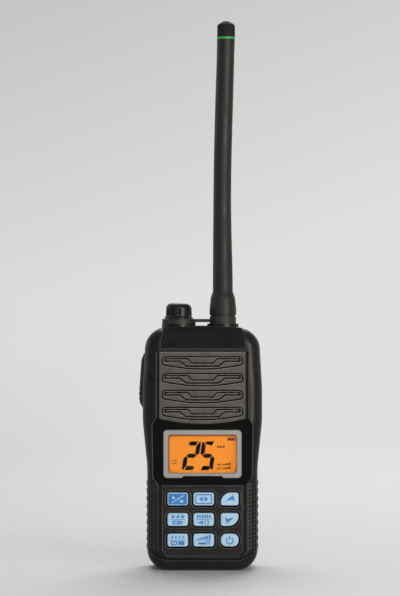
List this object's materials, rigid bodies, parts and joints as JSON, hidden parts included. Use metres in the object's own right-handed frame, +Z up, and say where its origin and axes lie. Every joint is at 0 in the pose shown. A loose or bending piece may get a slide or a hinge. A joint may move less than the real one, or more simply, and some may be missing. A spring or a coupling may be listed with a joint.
{
  "type": "handheld marine radio",
  "caption": "Handheld marine VHF radio with speaker grille, backlit display, keypad, whip antenna, push-to-talk button, slide-off battery pack and belt clip.",
  "frame": {"origin": "middle of the flat foot that the radio stands on, 19.5 mm behind the front face", "axes": "+X to the right seen from the front, +Y to the back, +Z up along the antenna"},
  "size_m": [0.0677, 0.0499, 0.302],
  "materials": {
    "housing_black": "fine satin, moulded",
    "chassis_black": "die-cast, matt black paint",
    "rubber_black": "matt",
    "steel_dark": "blackened screws",
    "grille_grey": "fine grain",
    "surround_gloss": "gloss",
    "bezel_silver": "satin silver-grey",
    "window_clear": "clear, flat",
    "lcd_orange": "backlit orange",
    "light_guide": "clear white",
    "holder_white": "plain",
    "plate_grey": "fine texture",
    "key_light_blue": "satin",
    "key_dark_blue": "satin",
    "steel_bright": "plain",
    "board_green": "solder mask",
    "tinned_can": "tinned",
    "paper_cone": "pressed cone",
    "membrane": "thin film",
    "magnet_grey": "ferrite",
    "brass_plated": "nickel-plated brass",
    "antenna_rubber": "satin sleeve",
    "band_green": "plain",
    "helix_copper": "wound radiator in resin",
    "pack_black": "fine texture",
    "cell_blue": "sleeved cells",
    "contact_gold": "gold-plated"
  },
  "bodies": {
    "radio": {"front_housing": "housing_black", "rear_chassis": "chassis_black", "housing_seal": "rubber_black", "machine_screws": "steel_dark", "grille_panel": "grille_grey", "speaker_membrane": "membrane", "speaker_frame": "tinned_can", "speaker_cone": "paper_cone", "speaker_magnet": "magnet_grey", "microphone": "steel_bright", "display_surround": "surround_gloss", "display_bezel": "bezel_silver", "display_window": "window_clear", "lcd_panel": "lcd_orange", "lcd_holder": "holder_white", "backlight_panel": "light_guide", "keypad_plate": "plate_grey", "keypad_mat": "rubber_black", "key_domes": "steel_bright", "control_board": "board_green", "main_board": "board_green", "rf_shield": "tinned_can", "power_module": "magnet_grey", "ptt_pin": "steel_bright", "ptt_switch": "rubber_black", "antenna_socket": "brass_plated", "jack_bush": "brass_plated", "jack_socket": "brass_plated", "cap_strap": "rubber_black", "contact_springs": "contact_gold"},
    "key_priority": {"key_priority": "key_dark_blue"},
    "key_channel": {"key_channel": "key_light_blue"},
    "key_up": {"key_up": "key_light_blue"},
    "key_favourite": {"key_favourite": "key_light_blue"},
    "key_monitor": {"key_monitor": "key_light_blue"},
    "key_down": {"key_down": "key_light_blue"},
    "key_scan": {"key_scan": "key_light_blue"},
    "key_output_level": {"key_output_level": "key_light_blue"},
    "key_power": {"key_power": "key_light_blue"},
    "ptt": {"ptt_button": "rubber_black"},
    "antenna_thread": {"antenna_seal": "rubber_black"},
    "antenna": {"antenna_whip": "antenna_rubber", "antenna_core": "helix_copper", "antenna_band": "band_green", "antenna_tip": "antenna_rubber", "antenna_plug": "brass_plated"},
    "cap_thread": {"cap_seal": "rubber_black"},
    "cap": {"jack_cap": "housing_black"},
    "pack": {"battery_case": "pack_black", "battery_lid": "pack_black", "battery_cells": "cell_blue", "pack_contacts": "contact_gold", "charge_contacts": "contact_gold", "latch_spring": "steel_bright", "clip_bracket": "pack_black", "clip_screws": "steel_dark", "clip_pin": "steel_bright", "clip_spring": "steel_bright"},
    "latch": {"battery_latch": "pack_black"},
    "clip": {"clip_lever": "pack_black"}
  },
  "joints": [
    {"name": "key_priority_press", "type": "slide", "parent": "radio", "child": "key_priority", "axis": [0, 1, 0], "range_m": [0, 0.0007], "stiffness_N_per_m": 2000},
    {"name": "key_channel_press", "type": "slide", "parent": "radio", "child": "key_channel", "axis": [0, 1, 0], "range_m": [0, 0.0007], "stiffness_N_per_m": 2000},
    {"name": "key_up_press", "type": "slide", "parent": "radio", "child": "key_up", "axis": [0, 1, 0], "range_m": [0, 0.0007], "stiffness_N_per_m": 2000},
    {"name": "key_favourite_press", "type": "slide", "parent": "radio", "child": "key_favourite", "axis": [0, 1, 0], "range_m": [0, 0.0007], "stiffness_N_per_m": 2000},
    {"name": "key_monitor_press", "type": "slide", "parent": "radio", "child": "key_monitor", "axis": [0, 1, 0], "range_m": [0, 0.0007], "stiffness_N_per_m": 2000},
    {"name": "key_down_press", "type": "slide", "parent": "radio", "child": "key_down", "axis": [0, 1, 0], "range_m": [0, 0.0007], "stiffness_N_per_m": 2000},
    {"name": "key_scan_press", "type": "slide", "parent": "radio", "child": "key_scan", "axis": [0, 1, 0], "range_m": [0, 0.0007], "stiffness_N_per_m": 2000},
    {"name": "key_output_level_press", "type": "slide", "parent": "radio", "child": "key_output_level", "axis": [0, 1, 0], "range_m": [0, 0.0007], "stiffness_N_per_m": 2000},
    {"name": "key_power_press", "type": "slide", "parent": "radio", "child": "key_power", "axis": [0, 1, 0], "range_m": [0, 0.0007], "stiffness_N_per_m": 2000},
    {"name": "ptt_press", "type": "hinge", "parent": "radio", "child": "ptt", "pos_m": [-0.0299, -0.003, 0.1153], "axis": [0, -1, 0], "range_deg": [0, 2.6], "stiffness_Nm_per_rad": 1.5},
    {"name": "antenna_lift", "type": "slide", "parent": "radio", "child": "antenna_thread", "axis": [0, 0, 1], "range_m": [0, 0.00318]},
    {"name": "antenna_turn", "type": "hinge", "parent": "antenna_thread", "child": "antenna", "pos_m": [0.0113, -0.0018, 0.1399], "axis": [0, 0, 1], "range_deg": [0, 1630]},
    {"name": "cap_lift", "type": "slide", "parent": "radio", "child": "cap_thread", "axis": [0, 0, 1], "range_m": [0, 0.0045]},
    {"name": "cap_turn", "type": "hinge", "parent": "cap_thread", "child": "cap", "pos_m": [-0.013, -0.0018, 0.1378], "axis": [0, 0, 1], "range_deg": [0, 1630]},
    {"name": "pack_release", "type": "slide", "parent": "radio", "child": "pack", "axis": [0, 1, 0], "range_m": [0, 0.025]},
    {"name": "latch_press", "type": "slide", "parent": "pack", "child": "latch", "axis": [0, 0, -1], "range_m": [0, 0.0022], "stiffness_N_per_m": 800, "deforming": ["latch_spring"]},
    {"name": "clip_open", "type": "hinge", "parent": "pack", "child": "clip", "pos_m": [0, 0.0254, 0.068], "axis": [1, 0, 0], "range_deg": [0, 16], "stiffness_Nm_per_rad": 0.15}
  ],
  "couplings": [
    {"joint": "antenna_turn", "follows": "antenna_lift", "rad_per_m": 8899.7},
    {"joint": "cap_turn", "follows": "cap_lift", "rad_per_m": 6283.2}
  ]
}
